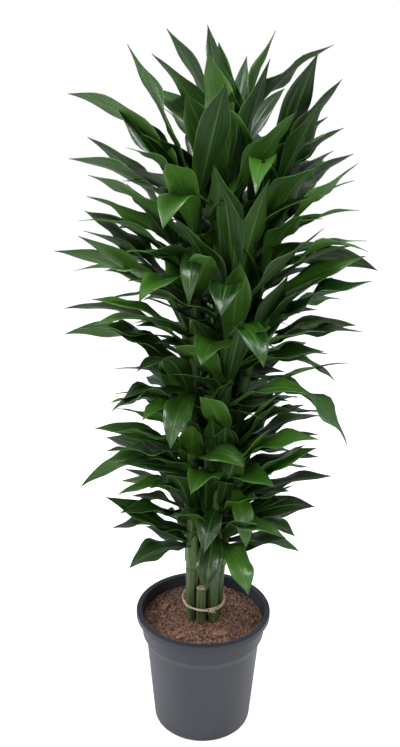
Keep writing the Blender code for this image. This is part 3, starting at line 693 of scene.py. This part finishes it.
def make_raffia(material):
    """Several flat strands wound around the canes, a knot at the front and two loose tails."""
    outer_r = SLOT_R + CANE_FOOT_R + TOUCH_GAP + 0.0037
    bm = bmesh.new()
    for strand in range(4):
        centers, radii = [], []
        for i in range(97):
            angle = 2 * pi * i / 96
            sag = 0.004 * cos(angle - radians(285))
            weave = 0.0013 * sin(3 * angle + 1.7 * strand)
            flat = outer_r + 0.0009 * cos(2 * angle + 2.1 * strand)
            centers.append(Vector((flat * cos(angle) + 0.0007, flat * sin(angle),
                                   TIE_Z - sag + 0.0011 * (strand - 1.5) + weave)))
            radii.append(0.0009 + 0.0003 * sin(7 * angle + strand))
        tube(bm, centers, radii, 6)
    angle = radians(293)
    knot = Vector(((outer_r + 0.0022) * cos(angle), (outer_r + 0.0022) * sin(angle), TIE_Z - 0.004))
    for turn in range(3):
        centers = []
        for i in range(25):
            t = 2 * pi * i / 24
            loop = Vector((0.0042 * cos(t), 0.0022 * sin(t + turn), 0.0036 * sin(t)))
            swing = Matrix.Rotation(angle + pi / 2 + 0.5 * (turn - 1), 3, "Z")
            centers.append(knot + swing @ loop)
        tube(bm, centers, [0.0010] * 25, 6)
    for side in (-1, 1):
        centers = [knot + Vector((side * 0.0035 * t, -0.0008 * t, -0.0018 * t * t * 0.7))
                   for t in (0.0, 0.6, 1.2, 1.8, 2.3)]
        tube(bm, centers, [0.0009, 0.0009, 0.0008, 0.0007, 0.0004], 6)
    return add_piece("raffia_strands", bm, [material], "raffia_tie")


def make_chip(index, place, size, turn, material):
    """A rough flat chip of bark lying on the soil."""
    bm = bmesh.new()
    bmesh.ops.create_cube(bm, size=1.0)
    bmesh.ops.subdivide_edges(bm, edges=bm.edges, cuts=5, use_grid_fill=True)
    spin = Matrix.Rotation(radians(turn), 3, "Z")
    for v in bm.verts:
        rough = noise.noise(v.co * 5.0 + Vector((index, 0.0, 0.0)))
        co = Vector((v.co.x * size[0], v.co.y * size[1] * (1.0 - 0.5 * v.co.x ** 2), v.co.z * size[2]))
        co *= 1.0 + 0.10 * rough
        v.co = place + spin @ co
    return add_piece(f"bark_{index}", bm, [material], f"bark_chip_{index}")


def aim(thing, target):
    thing.rotation_euler = (Vector(target) - thing.location).to_track_quat("-Z", "Y").to_euler()


def area_lamp(name, place, target, size, power):
    data = bpy.data.lights.new(name, "AREA")
    data.shape = "RECTANGLE"
    data.size, data.size_y = size
    data.energy = power
    lamp = bpy.data.objects.new(name, data)
    bpy.context.scene.collection.objects.link(lamp)
    lamp.location = place
    aim(lamp, target)
    return lamp


def make_floor():
    bm = bmesh.new()
    bmesh.ops.create_grid(bm, x_segments=1, y_segments=1, size=6.0)
    mesh = bpy.data.meshes.new("floor")
    bm.to_mesh(mesh)
    bm.free()
    floor = bpy.data.objects.new("floor", mesh)
    bpy.context.scene.collection.objects.link(floor)
    floor.location = (0.0, 0.0, -0.0003)
    material, nodes, links, shader = new_material("pale_floor", (0.93, 0.93, 0.93), 0.8)
    path = nodes.new("ShaderNodeLightPath")
    lift = math_node(nodes, links, "MULTIPLY", path.outputs["Is Camera Ray"], FLOOR_LIFT)
    shader.inputs["Emission Color"].default_value = (1.0, 1.0, 1.0, 1.0)
    links.new(lift, shader.inputs["Emission Strength"])
    mesh.materials.append(material)


def make_studio():
    world = bpy.data.worlds.new("studio")
    bpy.context.scene.world = world
    world.use_nodes = True
    nodes, links = world.node_tree.nodes, world.node_tree.links
    glow = nodes["Background"]
    glow.inputs["Color"].default_value = (0.90, 0.94, 0.98, 1.0)
    glow.inputs["Strength"].default_value = 0.38
    plain = nodes.new("ShaderNodeBackground")
    plain.inputs["Color"].default_value = (1.0, 1.0, 1.0, 1.0)
    plain.inputs["Strength"].default_value = 1.0
    path = nodes.new("ShaderNodeLightPath")
    mix = nodes.new("ShaderNodeMixShader")
    links.new(path.outputs["Is Camera Ray"], mix.inputs[0])
    links.new(glow.outputs[0], mix.inputs[1])
    links.new(plain.outputs[0], mix.inputs[2])
    links.new(mix.outputs[0], nodes["World Output"].inputs["Surface"])
    area_lamp("top_light", (0.3, -0.6, 3.2), (0, 0, 0.9), (1.2, 0.9), 56.0)
    area_lamp("front_light", (-1.6, -2.4, 2.0), (0, 0, 0.7), (0.8, 1.4), 26.0)
    area_lamp("right_light", (2.2, -1.4, 1.8), (0, 0, 0.8), (0.6, 1.4), 22.0)
    area_lamp("left_light", (-2.4, 0.5, 1.3), (0, 0, 0.6), (0.8, 1.8), 44.0)


def make_camera():
    data = bpy.data.cameras.new("camera")
    data.sensor_fit = "VERTICAL"
    data.sensor_height = 36.0
    data.lens = 40.8
    camera = bpy.data.objects.new("camera", data)
    bpy.context.scene.collection.objects.link(camera)
    camera.location = (-0.0115, -1.487, 1.23)
    camera.rotation_euler = (radians(72.0), 0.0, 0.0)
    camera.rotation_euler.rotate_axis("Z", radians(0.6))
    bpy.context.scene.camera = camera


def main():
    leaf_top = leaf_material("leaf_top", (0.0020, 0.0085, 0.0020), (0.008, 0.034, 0.004),
                             (0.056, 0.180, 0.012), 0.28, 0.40)
    leaf_under = leaf_material("leaf_under", (0.003, 0.013, 0.003), (0.012, 0.045, 0.005),
                               (0.066, 0.180, 0.018), 0.40, 0.0)
    bases = cane_material("leaf_bases", (0.030, 0.075, 0.015), (0.120, 0.200, 0.050))
    cane_skin = cane_material("green_cane", (0.020, 0.040, 0.012), (0.110, 0.150, 0.050))
    wood = grainy_material("cut_wood", [(0.3, (0.40, 0.26, 0.12)), (0.7, (0.62, 0.47, 0.27))],
                           0.8, 300, 0.0003)
    pot_skin = grainy_material("slate_plastic", [(0.3, (0.022, 0.026, 0.038)),
                                                 (0.7, (0.027, 0.031, 0.044))], 0.36, 900, 0.00004)
    soil_skin = grainy_material("potting_mix", [(0.38, (0.040, 0.017, 0.013)),
                                                (0.50, (0.230, 0.115, 0.085)),
                                                (0.66, (0.520, 0.310, 0.220))], 0.9, 200, 0.0016)
    bit_skin = grainy_material("bark_bits", [(0.3, (0.18, 0.085, 0.055)), (0.7, (0.46, 0.25, 0.15))],
                               0.85, 200, 0.0006)
    bark_skin = grainy_material("bark", [(0.3, (0.20, 0.095, 0.060)), (0.7, (0.44, 0.235, 0.140))],
                                0.85, 180, 0.0008)
    raffia_skin = grainy_material("raffia", [(0.3, (0.46, 0.36, 0.24)), (0.7, (0.74, 0.64, 0.48))],
                                  0.7, 400, 0.0003)
    make_pot(pot_skin)
    make_soil(soil_skin)
    make_crumbs(soil_skin, "soil_crumbs", 2200, (0.0012, 0.0036), 3)
    make_crumbs(bit_skin, "bark_bits", 420, (0.0014, 0.0042), 4)
    for cane in CANES:
        make_cane(cane, cane_skin)
    make_pruned_cane(cane_skin, wood)
    make_raffia(raffia_skin)
    chips = (((0.034, -0.062), (0.028, 0.015, 0.004), 15), ((0.048, -0.092), (0.018, 0.010, 0.004), -30),
             ((-0.045, -0.072), (0.020, 0.009, 0.003), 40), ((-0.078, 0.030), (0.024, 0.012, 0.004), 70))
    for index, (place, size, turn) in enumerate(chips, 1):
        z = soil_z(hypot(*place)) + 0.0022
        make_chip(index, Vector((*place, z)), size, turn, bark_skin)
    chance = random.Random(SEED)
    leaves = shaped_leaves() + free_leaves(chance)
    for leaf in leaves:
        leaf["tone"] = 0.95 * chance.random() ** 1.25
        leaf["wave"] = chance.uniform(0.12, 0.36)
        leaf["waves"] = chance.uniform(9.0, 17.0)
        leaf["phase"] = chance.uniform(0.0, 3.0)
        leaf["spine"] = unit_spine(leaf["droop"])
        keep_in_box(leaf)
    for cane in CANES:
        for storey in range(len(STOREYS)):
            make_sleeve(cane, storey, bases)
            make_foliage(cane, storey, leaves, leaf_top, leaf_under)
    make_floor()
    make_studio()
    make_camera()
    scene = bpy.context.scene
    scene.view_settings.view_transform = "Standard"


main()
